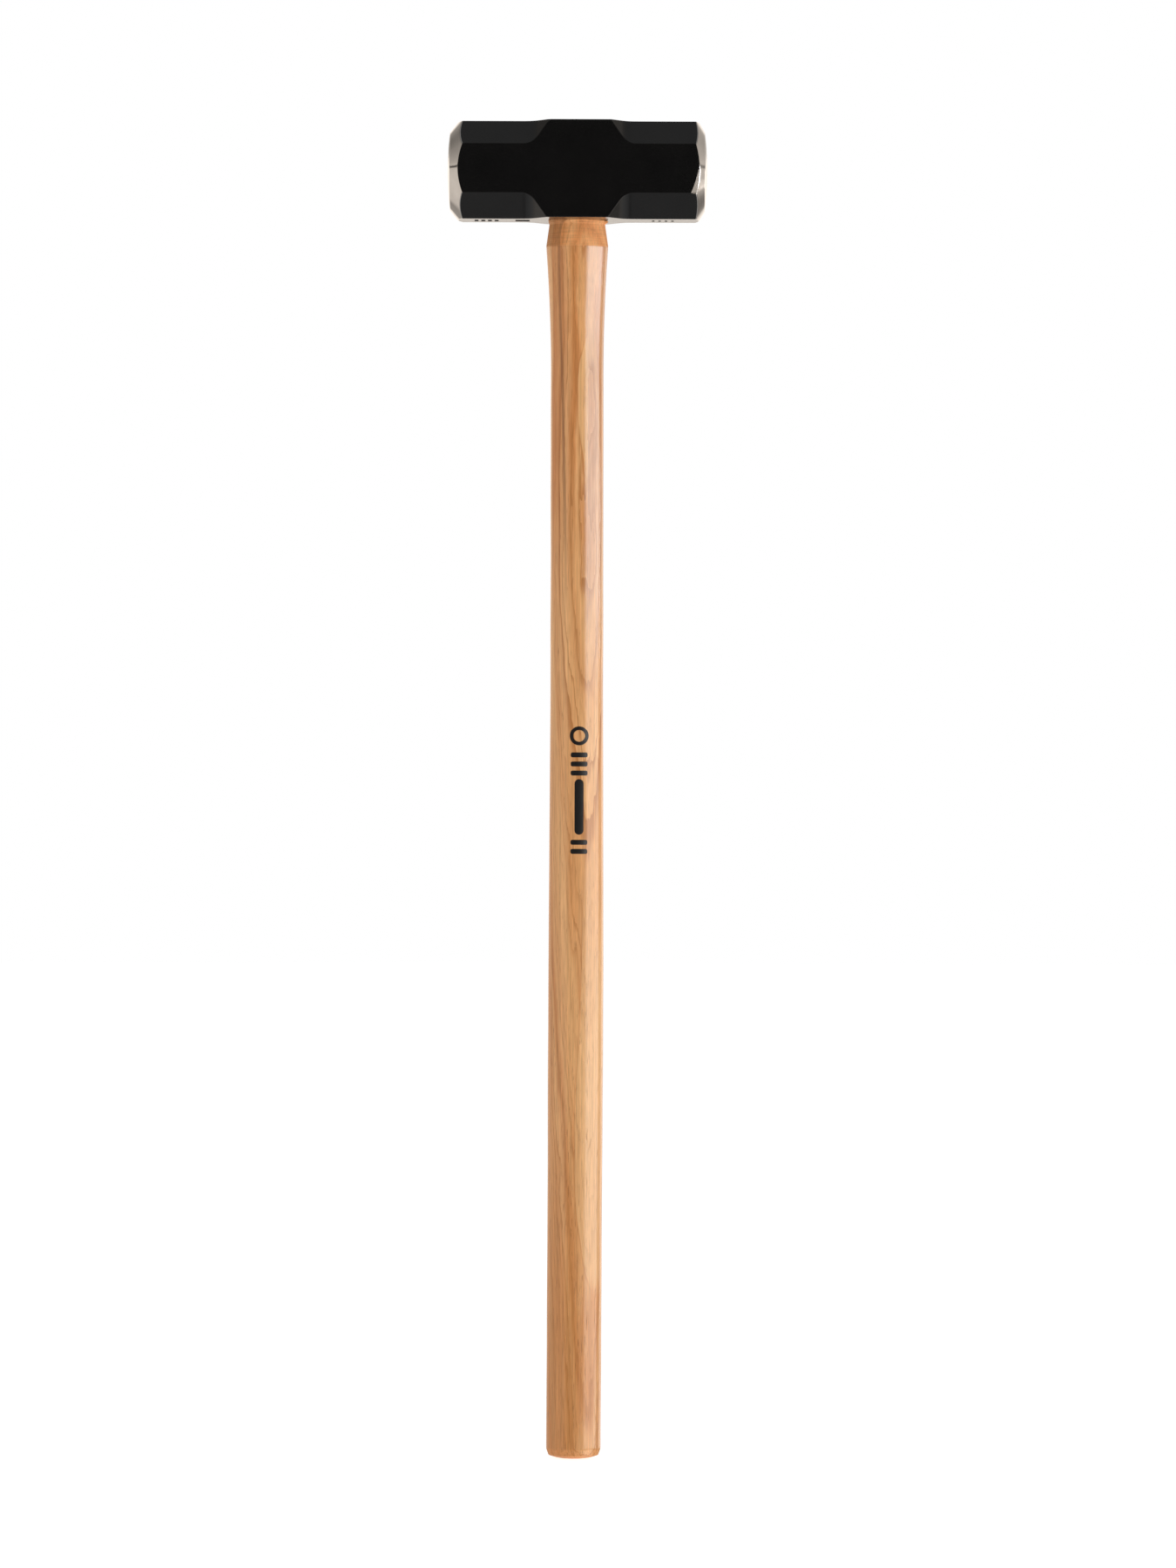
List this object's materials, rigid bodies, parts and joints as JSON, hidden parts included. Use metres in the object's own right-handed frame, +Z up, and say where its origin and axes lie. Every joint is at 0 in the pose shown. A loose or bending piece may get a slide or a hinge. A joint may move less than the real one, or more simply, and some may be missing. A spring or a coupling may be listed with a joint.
{
  "type": "sledge hammer",
  "caption": "Double-faced sledge hammer: black forged octagonal head with crowned, bevelled polished faces, wedged on a long oval hickory handle with a shouldered neck.",
  "frame": {"origin": "lowest point of the butt, on the handle's axis, which is the centre of the object's footprint", "axes": "+Z up the handle to the head, +X along the head to its right striking face, -Y the front cheek"},
  "size_m": [0.1778, 0.0666, 0.9144],
  "materials": {
    "black_paint": "gloss black enamel over forged steel",
    "polished_steel": "turned and belt-polished bare steel on the striking faces and their bevels",
    "hickory": "satin clear lacquer over flat-sawn hickory",
    "wedge_wood": "bare sawn hardwood",
    "wedge_steel": "bare stamped steel",
    "mark_ink": "black printing ink"
  },
  "bodies": {
    "root": {"head": "black_paint", "handle": "hickory", "wood_wedge": "wedge_wood", "steel_wedge_left": "wedge_steel", "steel_wedge_right": "wedge_steel"}
  },
  "joints": []
}
